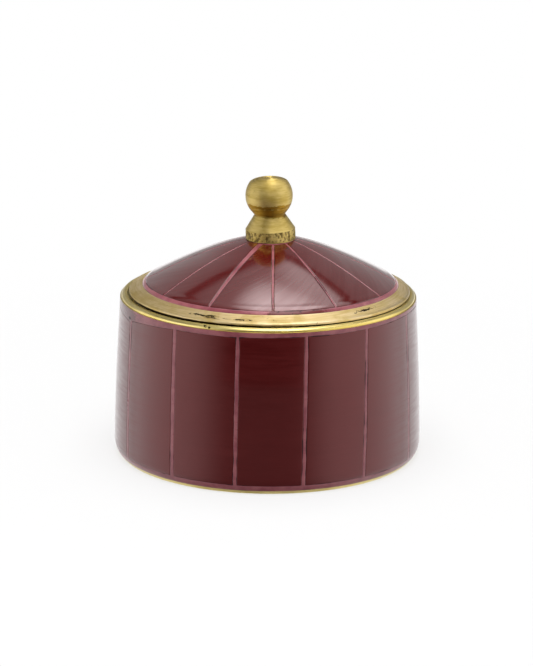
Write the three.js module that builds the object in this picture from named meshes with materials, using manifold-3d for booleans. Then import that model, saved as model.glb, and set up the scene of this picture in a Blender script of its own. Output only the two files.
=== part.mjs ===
// A round trinket box of turned brass with a drop-in domed lid and a ball knob.
// Burgundy enamel fields, parted by thin mauve-pink lines and bands, lie flush in shallow recesses
// of the brass. The box stands on the origin with +Z up and its front towards -Y, in millimetres.

import * as THREE from "three";
import { mergeVertices } from "three/addons/utils/BufferGeometryUtils.js";
import Module from "manifold-3d";

// Box body
const widestRadius = 50;
const rimHeight = 53.5;
const footOverhang = 1.9; // how far the widest part stands out over the foot
const footRadius = widestRadius - footOverhang;
const cornerHeight = 4.5; // the rounded lower corner ends here
const rimDrawIn = 2.1; // how far the side draws in from the widest radius to the rim
const rimRadius = widestRadius - rimDrawIn;
const sidePower = 1.5; // how late it draws in
const bareRimHeight = 1.7; // the bare brass between the enamel and the top of the rim
const rimFootHeight = rimHeight - bareRimHeight;
const wallThickness = 2.3; // with the enamel
const floorThickness = 1.8;
const floorFillet = 3;
const footRingWidth = 8.1; // the underside is dished inside the foot ring
const dishRadius = footRadius - footRingWidth;
const dishDepth = 0.6;

// Enamel
const enamelDepth = 0.45;
const hairline = 0.05; // what parts two pieces that lie against each other
const footStripHeight = 1.15;
const boxLowBandHeight = 2;
const boxTopBandHeight = 1.45;
const boxLineCount = 14;
const boxLineWidth = 1.3;
const boxLineTurn = 14.06; // degrees from the front to the first line on the right
const lidLineCount = 12;
const lidLineWidth = 0.8;
const lidLineTurn = 2;
const lidBandWidth = 1.35;
const lidRingWidth = 1;

// Seat of the lid
const rimWidth = 2.3;
const rebateRadius = rimRadius - rimWidth;
const rebateDepth = 1.6;
const ledgeWidth = 2.2;
const ledgeThickness = 2.6;

// Lid
const flangeGap = 0.8; // round the flange, between it and the rim
const flangeWidth = 4.3;
const flangeSlope = 1.15; // how far the flange falls from the enamel to its rounded edge
const flangeEdgeRounding = 1.4;
const domeRadius = rebateRadius - flangeGap - flangeWidth; // outer edge of the enamel
const domeStand = 2; // how far that edge stands over the rim
const domeFootHeight = rimHeight + domeStand;
const shoulderWidth = 2; // the dome turns down over this width
const shoulderHeight = 2.8;
const shoulderBendInset = 0.7; // the bend's corner, in from the enamel's outer edge
const shoulderBendHeight = 2.1; // and above that edge
const domeRise = 13.2; // from the shoulder to the apex
const domePower = 1.6;
const lidThickness = 1.9; // with the enamel
const lipDepth = 2.5;
const lipThickness = 1.5;
const lipClearance = 0.5;

// Knob
const collarRadius = 8.15;
const collarHeight = 3.4;
const coneHeight = 5;
const neckRadius = 5.25;
const ballRadius = 7.75;
const topFlatRadius = 5.2;
const collarOverhang = 0.55; // how far the collar covers the enamel round its seat
const seatRadius = collarRadius - collarOverhang; // the flat on the lid under the collar

// Fixing of the knob
const screwRadius = 1.5;
const screwClearance = 0.1; // round the screw in the lid, the washer and the knob
const screwReach = 9; // how deep the screw goes into the knob
const boreSpare = 1; // blind bore past the screw's end
const washerRadius = 4.5;
const washerThickness = 0.8;
const headRadius = 2.9;
const headHeight = 1.9;
const slotWidth = 0.8;
const slotDepth = 0.9;

// Fineness of the facets
const boxCellsPerPanel = 4;
const lidCellsPerPanel = 3;
const turnedFacets = 28;
const sideRows = 5;
const sideEase = 1.6; // packs the side's rows closer together at the bottom
const domeRows = 4;
const shoulderRows = 2;
const bandRows = 2;
const roundSteps = 3;

const brass = new THREE.MeshStandardMaterial({ color: 0xb79a58, roughness: 0.38, metalness: 1 });
const burgundy = new THREE.MeshStandardMaterial({ color: 0x6e2a2c, roughness: 0.14, metalness: 0.35 });
const mauvePink = new THREE.MeshStandardMaterial({ color: 0xa3686b, roughness: 0.22, metalness: 0 });
const steel = new THREE.MeshStandardMaterial({ color: 0x9c9c98, roughness: 0.35, metalness: 1 });

const wasm = await Module();
wasm.setup();

const point = (radius, height) => new THREE.Vector2(radius, height);
const steps = (count) => Array.from({ length: count + 1 }, (_, i) => i / count);

// Profiles, as points of radius and height

// Points on a quarter of an ellipse from its side to its top, or back.
function quarter(centre, width, height, from, to) {
  const curve = new THREE.EllipseCurve(centre.x, centre.y, width, height, from, to, to < from);
  return curve.getPoints(roundSteps);
}

// The profile moved inwards by a depth, square to itself. It runs so that its outside is on its right.
function inset(profile, depth) {
  return profile.map((p, i) => {
    const before = profile[Math.max(i - 1, 0)];
    const after = profile[Math.min(i + 1, profile.length - 1)];
    const along = after.clone().sub(before).normalize();
    return point(p.x - along.y * depth, p.y + along.x * depth);
  });
}

// The profile with its two ends drawn in along it.
function shortened(profile, amount) {
  const end = (from, next) => from.clone().lerp(next, amount / from.distanceTo(next));
  const last = profile.length - 1;
  return profile.map((p, i) => {
    if (i === 0) return end(p, profile[1]);
    return i === last ? end(p, profile[last - 1]) : p;
  });
}

// Radius of the body's side: a rounded lower corner, then a side that draws in towards the rim.
function sideRadius(height) {
  const overhang = widestRadius - footRadius;
  const cornerRadius = (cornerHeight ** 2 + overhang ** 2) / (2 * overhang);
  const below = cornerHeight - height;
  if (below > 0) return widestRadius - cornerRadius + Math.sqrt(cornerRadius ** 2 - below ** 2);
  const share = -below / (rimFootHeight - cornerHeight);
  return THREE.MathUtils.lerp(widestRadius, rimRadius, share ** sidePower);
}

// Points of the side between two heights, closer together at the bottom when ease is over 1.
function sideProfile(low, high, rows, ease = 1) {
  return steps(rows).map((t) => {
    const height = THREE.MathUtils.lerp(low, high, t ** ease);
    return point(sideRadius(height), height);
  });
}

const shoulder = new THREE.QuadraticBezierCurve(
  point(domeRadius - shoulderWidth, domeFootHeight + shoulderHeight),
  point(domeRadius - shoulderBendInset, domeFootHeight + shoulderBendHeight),
  point(domeRadius, domeFootHeight),
);
const domeHeight = (radius) => {
  const share = radius / shoulder.v0.x;
  return shoulder.v0.y + domeRise * (1 - share ** domePower);
};
const domeProfile = (inner, outer, rows) =>
  steps(rows).map((t) => {
    const radius = THREE.MathUtils.lerp(inner, outer, t);
    return point(radius, domeHeight(radius));
  });
const shoulderProfile = (from, to, rows) =>
  steps(rows).map((t) => shoulder.getPointAt(THREE.MathUtils.lerp(from, to, t)));

// Two profiles in a row, without the point that they share.
const joined = (...profiles) => profiles.flatMap((p, i) => (i ? p.slice(1) : p));

// Columns: the angles at which facets meet, as functions of the radius. A line keeps its width
// from the axis outwards, and the field between two lines is cut into equal cells.
function columnsOf(count, turn, lineWidth, cellsPerPanel) {
  const pitch = (2 * Math.PI) / count;
  const first = THREE.MathUtils.degToRad(turn - 90);
  const columns = [];
  for (let line = 0; line < count; line++) {
    const middle = first + line * pitch;
    const half = (radius) => Math.asin(lineWidth / 2 / radius);
    columns.push((radius) => middle - half(radius));
    for (let cell = 0; cell < cellsPerPanel; cell++) {
      const share = cell / cellsPerPanel;
      columns.push((radius) => middle + half(radius) + share * (pitch - 2 * half(radius)));
    }
  }
  return columns;
}

// Radius at which angles are taken for points nearer to the axis.
const innermost = seatRadius;
const place = (p, column) => {
  const angle = column(Math.max(p.x, innermost));
  return new THREE.Vector3(p.x * Math.cos(angle), p.x * Math.sin(angle), p.y);
};

// Closed geometry from a list of corner triples. Triangles with two like corners are left out.
function geometryOf(triangles) {
  const kept = triangles.filter(([a, b, c]) => !a.equals(b) && !b.equals(c) && !c.equals(a));
  const geometry = new THREE.BufferGeometry().setFromPoints(kept.flat());
  geometry.computeVertexNormals();
  return geometry;
}

const quad = (a, b, c, d) => [[a, b, c], [a, c, d]];

// A closed loop of profile points turned round the axis, with its facets on the given columns.
function turnedOn(columns, loop) {
  const triangles = [];
  columns.forEach((column, i) => {
    const next = columns[(i + 1) % columns.length];
    loop.forEach((p, k) => {
      const q = loop[(k + 1) % loop.length];
      triangles.push(...quad(place(p, column), place(p, next), place(q, next), place(q, column)));
    });
  });
  return geometryOf(triangles);
}

// A curved slab between an outer and an inner profile. filled(row, column) says which cells hold
// material, and a slab that is closed goes all the way round.
function slab(columns, outer, inner, filled, closed) {
  const rowCount = outer.length - 1;
  const columnCount = closed ? columns.length : columns.length - 1;
  const has = (row, i) => {
    if (row < 0 || row >= rowCount) return false;
    if (!closed && (i < 0 || i >= columnCount)) return false;
    return filled(row, (i + columnCount) % columnCount);
  };
  const triangles = [];
  for (let row = 0; row < rowCount; row++) {
    for (let i = 0; i < columnCount; i++) {
      if (!has(row, i)) continue;
      const sides = [columns[i], columns[(i + 1) % columns.length]];
      const [a, b] = sides.map((column) => place(outer[row], column));
      const [d, c] = sides.map((column) => place(outer[row + 1], column));
      const [e, f] = sides.map((column) => place(inner[row], column));
      const [h, g] = sides.map((column) => place(inner[row + 1], column));
      triangles.push(...quad(a, b, c, d), ...quad(e, h, g, f));
      if (!has(row - 1, i)) triangles.push(...quad(a, e, f, b));
      if (!has(row + 1, i)) triangles.push(...quad(d, c, g, h));
      if (!has(row, i - 1)) triangles.push(...quad(a, d, h, e));
      if (!has(row, i + 1)) triangles.push(...quad(b, f, g, c));
    }
  }
  return geometryOf(triangles);
}

// Enamel

// One burgundy field: it lies between line number index and the next one.
function panelGeometry(columns, cellsPerPanel, index, profile) {
  const first = index * (cellsPerPanel + 1) + 1;
  const own = steps(cellsPerPanel).map((_, i) => columns[(first + i) % columns.length]);
  const left = (radius) => own[0](radius) + hairline / radius;
  const right = (radius) => own[cellsPerPanel](radius) - hairline / radius;
  const outer = shortened(profile, hairline);
  const inner = inset(outer, enamelDepth - hairline);
  return slab([left, ...own.slice(1, -1), right], outer, inner, () => true, false);
}

// The pink enamel: lines all the way up and bands all the way round, in one piece.
// inBand(row) tells which rows of the profile belong to a band.
function cageGeometry(columns, cellsPerPanel, profile, inBand) {
  const outer = shortened(profile, hairline);
  const inner = inset(outer, enamelDepth - hairline);
  const onLine = (i) => i % (cellsPerPanel + 1) === 0;
  return slab(columns, outer, inner, (row, i) => onLine(i) || inBand(row), true);
}

const boxColumns = columnsOf(boxLineCount, boxLineTurn, boxLineWidth, boxCellsPerPanel);
const lidColumns = columnsOf(lidLineCount, lidLineTurn, lidLineWidth, lidCellsPerPanel);

const boxPanelLow = footStripHeight + boxLowBandHeight;
const boxPanelHigh = rimFootHeight - boxTopBandHeight;
const boxLowBand = sideProfile(footStripHeight, boxPanelLow, bandRows);
const boxField = sideProfile(boxPanelLow, boxPanelHigh, sideRows, sideEase);
const boxTopBand = sideProfile(boxPanelHigh, rimFootHeight, 1);
const boxEnamel = joined(boxLowBand, boxField, boxTopBand);

const lidBandShare = 1 - lidBandWidth / shoulder.getLength();
const lidRing = domeProfile(seatRadius, seatRadius + lidRingWidth, 1);
const lidField = joined(
  domeProfile(seatRadius + lidRingWidth, shoulder.v0.x, domeRows),
  shoulderProfile(0, lidBandShare, shoulderRows),
);
const lidBand = shoulderProfile(lidBandShare, 1, bandRows);
const lidEnamel = joined(lidRing, lidField, lidBand);
// The lid's profiles run outwards and down, so they are turned round to keep the outside on the right.
const lidEnamelUp = [...lidEnamel].reverse();
const lidFieldUp = [...lidField].reverse();

// Brass

function boxShellGeometry() {
  const crownRadius = (rimRadius - rebateRadius) / 2;
  const crownFoot = rimHeight - crownRadius;
  const crown = point(rebateRadius + crownRadius, crownFoot);
  const ledgeRadius = rebateRadius - ledgeWidth;
  const ledgeHeight = rimHeight - rebateDepth;
  const cavityTop = ledgeHeight - ledgeThickness;
  const cavityRadius = (height) => sideRadius(height) - wallThickness;
  // The ledge grows out of the wall at 45 degrees.
  const splay = cavityRadius(cavityTop) - ledgeRadius;
  const floorHeight = dishDepth + floorThickness;
  const filletTop = floorHeight + floorFillet;
  const filletCentre = point(cavityRadius(filletTop) - floorFillet, filletTop);
  return turnedOn(boxColumns, [
    point(0, dishDepth),
    point(dishRadius - dishDepth, dishDepth),
    point(dishRadius, 0),
    point(footRadius, 0),
    boxEnamel[0],
    ...inset(boxEnamel, enamelDepth),
    boxEnamel.at(-1),
    ...quarter(crown, crownRadius, crownRadius, 0, Math.PI / 2),
    ...quarter(crown, crownRadius, crownRadius, Math.PI / 2, Math.PI).slice(1),
    point(rebateRadius, ledgeHeight),
    point(ledgeRadius, ledgeHeight),
    point(ledgeRadius, cavityTop),
    point(cavityRadius(cavityTop), cavityTop - splay),
    ...quarter(filletCentre, floorFillet, floorFillet, 0, -Math.PI / 2),
    point(0, floorHeight),
  ]);
}

const seatHeight = domeHeight(seatRadius);
const flangeUnderside = rimHeight - rebateDepth + hairline;
const lidUnderside = seatHeight - lidThickness;

function lidShellGeometry() {
  const flangeRadius = rebateRadius - flangeGap;
  const flangeEdge = point(flangeRadius - flangeEdgeRounding, domeFootHeight - flangeSlope);
  const edgeFoot = point(flangeEdge.x, flangeEdge.y - flangeEdgeRounding);
  const lipRadius = rebateRadius - ledgeWidth - lipClearance;
  const lipFoot = flangeUnderside - lipDepth;
  const lipInner = lipRadius - lipThickness;
  // The underside follows the dome between the washer's flat and the lip.
  const under = inset(lidEnamelUp, lidThickness).filter(
    (p) => p.x > washerRadius && p.x < lipInner - lidThickness && p.y < lidUnderside,
  );
  const hole = screwRadius + screwClearance;
  return turnedOn(lidColumns, [
    point(hole, lidUnderside),
    point(washerRadius + hairline, lidUnderside),
    ...under.reverse(),
    point(lipInner, flangeUnderside + lidThickness),
    point(lipInner, lipFoot),
    point(lipRadius, lipFoot),
    point(lipRadius, flangeUnderside),
    point(flangeRadius, flangeUnderside),
    ...quarter(edgeFoot, flangeEdgeRounding, flangeEdgeRounding, 0, Math.PI / 2),
    lidEnamelUp[0],
    ...inset(lidEnamelUp, enamelDepth),
    point(seatRadius, seatHeight),
    point(hole, seatHeight),
  ]);
}

// Knob and its fixing

const knobFoot = seatHeight + hairline;
const turned = (profile) => new THREE.LatheGeometry(profile, turnedFacets).rotateX(Math.PI / 2);

function knobGeometry() {
  const neckHeight = knobFoot + collarHeight + coneHeight;
  const ballCentre = neckHeight + Math.sqrt(ballRadius ** 2 - neckRadius ** 2);
  const neckAngle = -Math.acos(neckRadius / ballRadius);
  const flatAngle = Math.acos(topFlatRadius / ballRadius);
  const ball = new THREE.EllipseCurve(0, ballCentre, ballRadius, ballRadius, neckAngle, flatAngle);
  const bore = screwRadius + screwClearance;
  const boreTop = knobFoot + screwReach + boreSpare;
  return turned([
    point(0, boreTop),
    point(bore, boreTop),
    point(bore, knobFoot),
    point(collarRadius, knobFoot),
    point(collarRadius, knobFoot + collarHeight),
    ...ball.getPoints(3 * roundSteps),
    point(0, ballCentre + Math.sqrt(ballRadius ** 2 - topFlatRadius ** 2)),
  ]);
}

const washerTop = lidUnderside - hairline;
const headTop = washerTop - washerThickness - hairline;

function washerGeometry() {
  const hole = screwRadius + screwClearance;
  const washer = [
    point(hole, washerTop - washerThickness),
    point(washerRadius, washerTop - washerThickness),
    point(washerRadius, washerTop),
    point(hole, washerTop),
  ];
  return turned([...washer, washer[0]]);
}

// A closed three.js geometry as a manifold-3d solid.
function solidOf(geometry) {
  const bare = geometry.clone().deleteAttribute("normal").deleteAttribute("uv");
  const merged = mergeVertices(bare, 1e-4);
  const vertProperties = merged.attributes.position.array;
  const triVerts = new Uint32Array(merged.index.array);
  return new wasm.Manifold(new wasm.Mesh({ numProp: 3, vertProperties, triVerts }));
}

function geometryFrom(solid) {
  const { vertProperties, triVerts } = solid.getMesh();
  const geometry = new THREE.BufferGeometry();
  geometry.setAttribute("position", new THREE.BufferAttribute(vertProperties, 3));
  geometry.setIndex(new THREE.BufferAttribute(triVerts, 1));
  const loose = geometry.toNonIndexed();
  loose.computeVertexNormals();
  return loose;
}

function screwGeometry() {
  const headFoot = headTop - headHeight;
  const screw = turned([
    point(0, headFoot),
    ...quarter(point(0, headFoot + headHeight / 2), headRadius, headHeight / 2, -Math.PI / 2, 0).slice(1),
    point(headRadius, headTop),
    point(screwRadius, headTop),
    point(screwRadius, knobFoot + screwReach),
    point(0, knobFoot + screwReach),
  ]);
  const slot = new THREE.BoxGeometry(4 * headRadius, slotWidth, 2 * slotDepth);
  slot.translate(0, 0, headFoot);
  return geometryFrom(solidOf(screw).subtract(solidOf(slot)));
}

// Assembly

const box = new THREE.Group();
const lid = new THREE.Group();
const group = new THREE.Group().add(box, lid);

function add(parent, name, geometry, material) {
  const mesh = new THREE.Mesh(geometry, material);
  mesh.name = name;
  parent.add(mesh);
}

const numbered = (name, index) => `${name}_${String(index + 1).padStart(2, "0")}`;

add(box, "box_shell", boxShellGeometry(), brass);
const inBoxBand = (row) => row < boxLowBand.length - 1 || row >= boxEnamel.length - boxTopBand.length;
add(box, "box_line_inlay", cageGeometry(boxColumns, boxCellsPerPanel, boxEnamel, inBoxBand), mauvePink);
for (let i = 0; i < boxLineCount; i++) {
  add(box, numbered("box_panel", i), panelGeometry(boxColumns, boxCellsPerPanel, i, boxField), burgundy);
}

add(lid, "lid_shell", lidShellGeometry(), brass);
const inLidBand = (row) => row < lidBand.length - 1 || row >= lidEnamel.length - lidRing.length;
add(lid, "lid_line_inlay", cageGeometry(lidColumns, lidCellsPerPanel, lidEnamelUp, inLidBand), mauvePink);
for (let i = 0; i < lidLineCount; i++) {
  add(lid, numbered("lid_panel", i), panelGeometry(lidColumns, lidCellsPerPanel, i, lidFieldUp), burgundy);
}
add(lid, "knob", knobGeometry(), brass);
add(lid, "knob_washer", washerGeometry(), steel);
add(lid, "knob_screw", screwGeometry(), steel);

export default group;
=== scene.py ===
"""The looks of a round brass box with enamel fields, a drop-in domed lid and a ball knob."""

import inspect
import math
from functools import partialmethod

import bpy
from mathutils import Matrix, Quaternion, Vector


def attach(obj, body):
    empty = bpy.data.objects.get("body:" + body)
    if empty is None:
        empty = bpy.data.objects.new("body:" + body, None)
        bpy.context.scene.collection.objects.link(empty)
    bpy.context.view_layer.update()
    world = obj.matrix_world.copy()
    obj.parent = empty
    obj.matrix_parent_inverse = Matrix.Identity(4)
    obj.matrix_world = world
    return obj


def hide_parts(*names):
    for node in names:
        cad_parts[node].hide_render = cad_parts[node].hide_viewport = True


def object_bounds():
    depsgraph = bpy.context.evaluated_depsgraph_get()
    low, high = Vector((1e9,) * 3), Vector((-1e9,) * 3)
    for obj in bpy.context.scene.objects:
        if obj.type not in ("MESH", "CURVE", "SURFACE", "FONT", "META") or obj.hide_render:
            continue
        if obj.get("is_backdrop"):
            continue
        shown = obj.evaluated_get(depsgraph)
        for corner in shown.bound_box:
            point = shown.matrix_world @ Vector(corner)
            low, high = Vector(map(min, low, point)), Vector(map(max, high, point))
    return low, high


bl_info = {
    "name": "Enamelled Brass Box",
    "version": (1, 0, 0),
    "blender": (4, 5, 0),
    "location": "3D View > Sidebar > Brass Box",
    "description": "Builds a turned brass box with enamel fields, a domed lid and a ball knob",
    "category": "Add Mesh",
}

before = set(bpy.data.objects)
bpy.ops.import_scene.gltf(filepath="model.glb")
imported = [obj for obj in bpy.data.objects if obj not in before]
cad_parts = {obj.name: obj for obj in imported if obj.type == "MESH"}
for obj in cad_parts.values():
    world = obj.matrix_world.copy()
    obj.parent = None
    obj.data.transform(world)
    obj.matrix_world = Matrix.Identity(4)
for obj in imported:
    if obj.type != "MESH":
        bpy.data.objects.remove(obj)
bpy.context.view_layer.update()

MM = 0.001
TURN = 2 * math.pi
HAIRLINE = 0.05 * MM
ENAMEL_DEPTH = 0.45 * MM
WELD_DISTANCE = 1e-6
SHARP_ANGLE = 0.7

# How far these lie to the right of the axis, in millimetres
FLANGE_OFF_CENTRE = 0.4
DOME_OFF_CENTRE = 0.7
KNOB_OFF_CENTRE = 0.62

# One row for each line: degrees from the front towards the right, slant from its foot to its
# top in degrees, widths in mm at its foot and top, and widths in mm of the band at its foot
# and at its top.
BOX_LINES = [
    (13.76, 1.3, 1.15, 1.0, 2.0, 1.45),
    (38.6, 2.3, 1.1, 1.0, 2.0, 1.4),
    (65.6, 0.3, 1.3, 1.1, 2.0, 1.2),
    (90.9, -0.4, 1.2, 1.1, 1.9, 1.3),
    (117.6, 0.4, 1.3, 1.2, 2.1, 1.4),
    (142.2, -0.2, 1.1, 1.2, 2.0, 1.5),
    (167.9, 0.5, 1.2, 1.0, 1.9, 1.4),
    (193.6, -0.5, 1.3, 1.2, 2.1, 1.3),
    (219.3, 0.3, 1.1, 1.1, 2.0, 1.5),
    (245.6, -0.2, 1.3, 1.2, 2.0, 1.6),
    (270.6, 0.4, 1.2, 1.2, 2.1, 1.3),
    (296.3, -1.0, 1.3, 1.3, 2.0, 4.1),
    (323.16, -0.4, 1.5, 1.3, 2.0, 1.6),
    (348.68, 0.35, 1.15, 1.1, 2.0, 1.7),
]

# Rows of the same kind. A lid's line starts at its outer edge and ends at the knob, and it runs
# straight past the axis, so its slant is what it gains at the knob's foot.
LID_LINES = [
    (0.12, 5.1, 0.55, 0.75, 1.35, 1.0),
    (28.8, 7.7, 0.42, 0.6, 1.35, 0.5),
    (56.8, 9.5, 0.3, 0.4, 1.35, 0.35),
    (87.6, 2.0, 0.5, 0.5, 1.4, 0.35),
    (119.0, 1.0, 0.6, 0.7, 1.4, 0.35),
    (149.5, -2.0, 0.6, 0.7, 1.35, 0.35),
    (181.0, 2.5, 0.6, 0.9, 1.3, 0.35),
    (211.0, -2.0, 0.8, 0.8, 1.35, 0.35),
    (242.5, 1.5, 0.6, 0.7, 1.4, 0.35),
    (271.5, 1.0, 0.5, 0.6, 1.5, 0.35),
    (303.1, 0.6, 0.32, 0.4, 1.45, 0.35),
    (330.9, 5.9, 0.5, 1.7, 1.4, 0.4),
]


# Outlines, as points of radius and height in millimetres


def lerp(low, high, share):
    return low + (high - low) * share


def spread(count):
    return [step / count for step in range(count + 1)]


def quarter(centre, radius, start, stop, count=8):
    """Points of a round corner between two angles in degrees."""
    angles = [math.radians(start + (stop - start) * step / count) for step in range(count + 1)]
    return [(centre[0] + radius * math.cos(a), centre[1] + radius * math.sin(a)) for a in angles]


def eased(outline, steps=4):
    """The outline with every corner that gives a third number cut back by it and rounded."""
    points = []
    for index, corner in enumerate(outline):
        here = Vector(corner[:2])
        if len(corner) == 2:
            points.append(tuple(here))
            continue
        back = (Vector(outline[index - 1][:2]) - here).normalized() * corner[2]
        onward = (Vector(outline[index + 1][:2]) - here).normalized() * corner[2]
        for share in spread(steps):
            points.append(tuple(here + back * (1 - share) ** 2 + onward * share**2))
    return points


def inset(outline, depth):
    """The outline moved inwards, square to itself. Its outside is on its right."""
    moved = []
    for index, (radius, height) in enumerate(outline):
        before = Vector(outline[max(index - 1, 0)])
        after = Vector(outline[min(index + 1, len(outline) - 1)])
        along = (after - before).normalized()
        moved.append((radius - along.y * depth, height + along.x * depth))
    return moved


def centred(radius, height):
    return 0


def lid_off_centre(radius, height):
    """The lid lies to the right in its rebate, and its dome more so than its flange."""
    inward = min(max((45 - radius) / 3.5, 0), 1)
    above = min(max((height - 52.5) / 1.3, 0), 1)
    return FLANGE_OFF_CENTRE + (DOME_OFF_CENTRE - FLANGE_OFF_CENTRE) * inward * above


def knob_off_centre(radius, height):
    return KNOB_OFF_CENTRE


class Sizes:
    """The box's sizes in millimetres, from the panel's values and what follows from them."""

    def __init__(self, given):
        self.widest_radius = given.widest_radius / MM
        self.rim_height = given.rim_height / MM
        self.foot_radius = self.widest_radius - 1.9
        self.corner_height = 4.5
        self.rim_radius = self.widest_radius - 2.1
        self.rim_foot = self.rim_height - 1.7
        self.rebate_radius = self.rim_radius - 2.3
        self.ledge_height = self.rim_height - 1.6
        self.ledge_radius = self.rebate_radius - 2.2
        self.enamel_foot = 1.15
        self.wall = 2.3
        self.floor_height = 2.4
        self.flange_radius = self.rebate_radius - 0.8
        self.dome_radius = self.flange_radius - 3.4
        self.dome_foot = self.rim_height + 2.3
        self.dome_rise = given.dome_rise / MM
        self.lid_thickness = 1.9
        self.seat_radius = 7.6
        self.shoulder_radius = self.dome_radius - 3.1
        self.shoulder_height = self.dome_foot + 2.3
        self.seat_height = self.dome_height(self.seat_radius)
        self.lid_underside = self.seat_height - self.lid_thickness
        self.bore_radius = 1.6
        self.washer_thickness = 0.8
        self.knob_foot = self.seat_height + HAIRLINE / MM
        self.ball_radius = given.ball_radius / MM

    def dome_height(self, radius):
        return self.shoulder_height + self.dome_rise * (1 - (radius / self.shoulder_radius) ** 1.52)

    def side_radius(self, height):
        """Radius of the body's side: a rounded lower corner, then a slow draw towards the rim."""
        overhang = self.widest_radius - self.foot_radius
        round_radius = (self.corner_height**2 + overhang**2) / (2 * overhang)
        below = self.corner_height - height
        if below > 0:
            return self.widest_radius - round_radius + math.sqrt(round_radius**2 - below**2)
        share = -below / (self.rim_foot - self.corner_height)
        return lerp(self.widest_radius, self.rim_radius, share**1.5)

    def box_enamel(self):
        """Outside of the body's enamel from its foot to the rim."""
        heights = [lerp(self.enamel_foot, self.corner_height, t) for t in spread(8)]
        heights += [lerp(self.corner_height, self.rim_foot, t) for t in spread(40)[1:]]
        return [(self.side_radius(height), height) for height in heights]

    def lid_enamel(self):
        """Outside of the lid's enamel from its outer edge up and in to the knob."""
        outer = Vector((self.dome_radius, self.dome_foot))
        bend = Vector((self.dome_radius - 1.0, self.dome_foot + 1.4))
        inner = Vector((self.shoulder_radius, self.shoulder_height))
        points = []
        for t in spread(12):
            points.append(tuple(outer * (1 - t) ** 2 + bend * 2 * t * (1 - t) + inner * t**2))
        for t in spread(36)[1:]:
            radius = lerp(self.shoulder_radius, self.seat_radius, t)
            points.append((radius, self.dome_height(radius)))
        return points

    def cup(self):
        """Outline of the brass body from the middle of its underside to the middle of its floor."""
        top = self.rim_height - 0.65
        crown = (self.rim_radius - 1.3, top - 0.9)
        dish_top = 0.6
        rebate = self.rebate_radius
        ledge = (self.ledge_radius, self.ledge_height)
        cavity_top = self.ledge_height - 2.6
        splay = self.side_radius(cavity_top) - self.wall - self.ledge_radius
        fillet = 3
        fillet_top = self.floor_height + fillet
        fillet_middle = (self.side_radius(fillet_top) - self.wall - fillet, fillet_top)
        enamel = self.box_enamel()
        cavity = [lerp(cavity_top - splay, fillet_top, t) for t in spread(12)]
        dish = [(0, dish_top), (self.foot_radius - 8.7, dish_top, 0.5)]
        foot = [(self.foot_radius - 8.1, 0, 0.25), (self.foot_radius, 0, 0.25)]
        recess = [enamel[0], *inset(enamel, ENAMEL_DEPTH / MM), enamel[-1]]
        rim = [(crown[0] + 0.9, enamel[-1][1] + 0.05), *quarter(crown, 0.9, 0, 90)]
        rim += [(crown[0] - 0.4, top), (rebate - 0.05, top - 0.03), (rebate - 0.15, top - 0.12)]
        rim += [(rebate - 0.15, top - 0.3), (rebate, top - 0.5), (rebate, ledge[1], 0.2)]
        inside = [(*ledge, 0.3), (ledge[0], cavity_top, 0.3)]
        inside += [(self.side_radius(height) - self.wall, height) for height in cavity]
        inside += [*quarter(fillet_middle, fillet, 0, -90)[1:], (0, self.floor_height)]
        return eased(dish + foot + recess + rim + inside)

    def dome(self):
        """Outline of the brass lid, once round from the hole on its underside."""
        underside = self.ledge_height + HAIRLINE / MM
        bead_top = self.dome_foot - 1.68
        bead = (self.flange_radius + 0.1, bead_top - 0.5)
        lip_radius = self.ledge_radius - 0.5
        lip_inner = lip_radius - 1.5
        lip_foot = underside - 2.5
        enamel = self.lid_enamel()
        hole = (self.bore_radius, self.lid_underside)
        hollow = [hole, (4.55, self.lid_underside)]
        for radius, height in reversed(inset(enamel, self.lid_thickness)):
            if 4.5 < radius < lip_inner - self.lid_thickness and height < self.lid_underside:
                hollow.append((radius, height))
        hollow.append((lip_inner, underside + self.lid_thickness, 0.5))
        lip = [(lip_inner, lip_foot, 0.2), (lip_radius, lip_foot, 0.35), (lip_radius, underside, 0.1)]
        flange = [(self.flange_radius, underside, 0.15), (self.flange_radius, bead_top - 1.2, 0.1)]
        flange.append((bead[0] + 0.2, bead_top - 1.15, 0.1))
        flange += quarter((bead[0] - 0.02, bead[1] - 0.2), 0.5, -45, 0, 8)
        flange += quarter(bead, 0.5, 0, 80, 12)
        recess = [enamel[0], *inset(enamel, ENAMEL_DEPTH / MM)]
        seat = [(self.seat_radius, self.seat_height), (self.bore_radius, self.seat_height), hole]
        return eased(hollow + lip + flange + recess + seat)

    def knob(self):
        """Outline of the knob from the end of its bore, down, out and up to its flat top."""
        foot = self.knob_foot
        ball = self.ball_radius
        neck_radius = 4.9
        flat_radius = 5.85
        bore_end = foot + 10
        centre = foot + 14.1
        neck = centre - 6.1
        start = -math.degrees(math.acos(6.2 / ball))
        stop = math.degrees(math.acos(flat_radius / ball)) - 2
        top = foot + 19.8
        sphere = quarter((0, centre), ball, start, stop, 28)
        shoulder = []
        for t in spread(6)[1:]:
            edge = Vector(sphere[-1]) * (1 - t) ** 2 + Vector((2.9, top)) * t**2
            shoulder.append(tuple(edge + Vector((4.9, top - 0.2)) * 2 * t * (1 - t)))
        bore = [(0, bore_end), (self.bore_radius, bore_end), (self.bore_radius, foot)]
        collar = [(7.8, foot), (8.0, foot + 0.12)]
        collar += [(8.02, lerp(foot + 0.35, foot + 3.2, t)) for t in spread(16)]
        collar += [(7.98, foot + 3.33), (7.88, foot + 3.47)]
        cone = [(lerp(7.8, 5.02, t), lerp(foot + 3.6, neck - 0.12, t)) for t in spread(8)]
        cone += [(neck_radius + 0.03, neck), (neck_radius + 0.2, neck + 0.3)]
        flat = [(2.0, top + 0.02), (0, top + 0.02)]
        return eased(bore + collar + cone + sphere + shoulder + flat)

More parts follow.
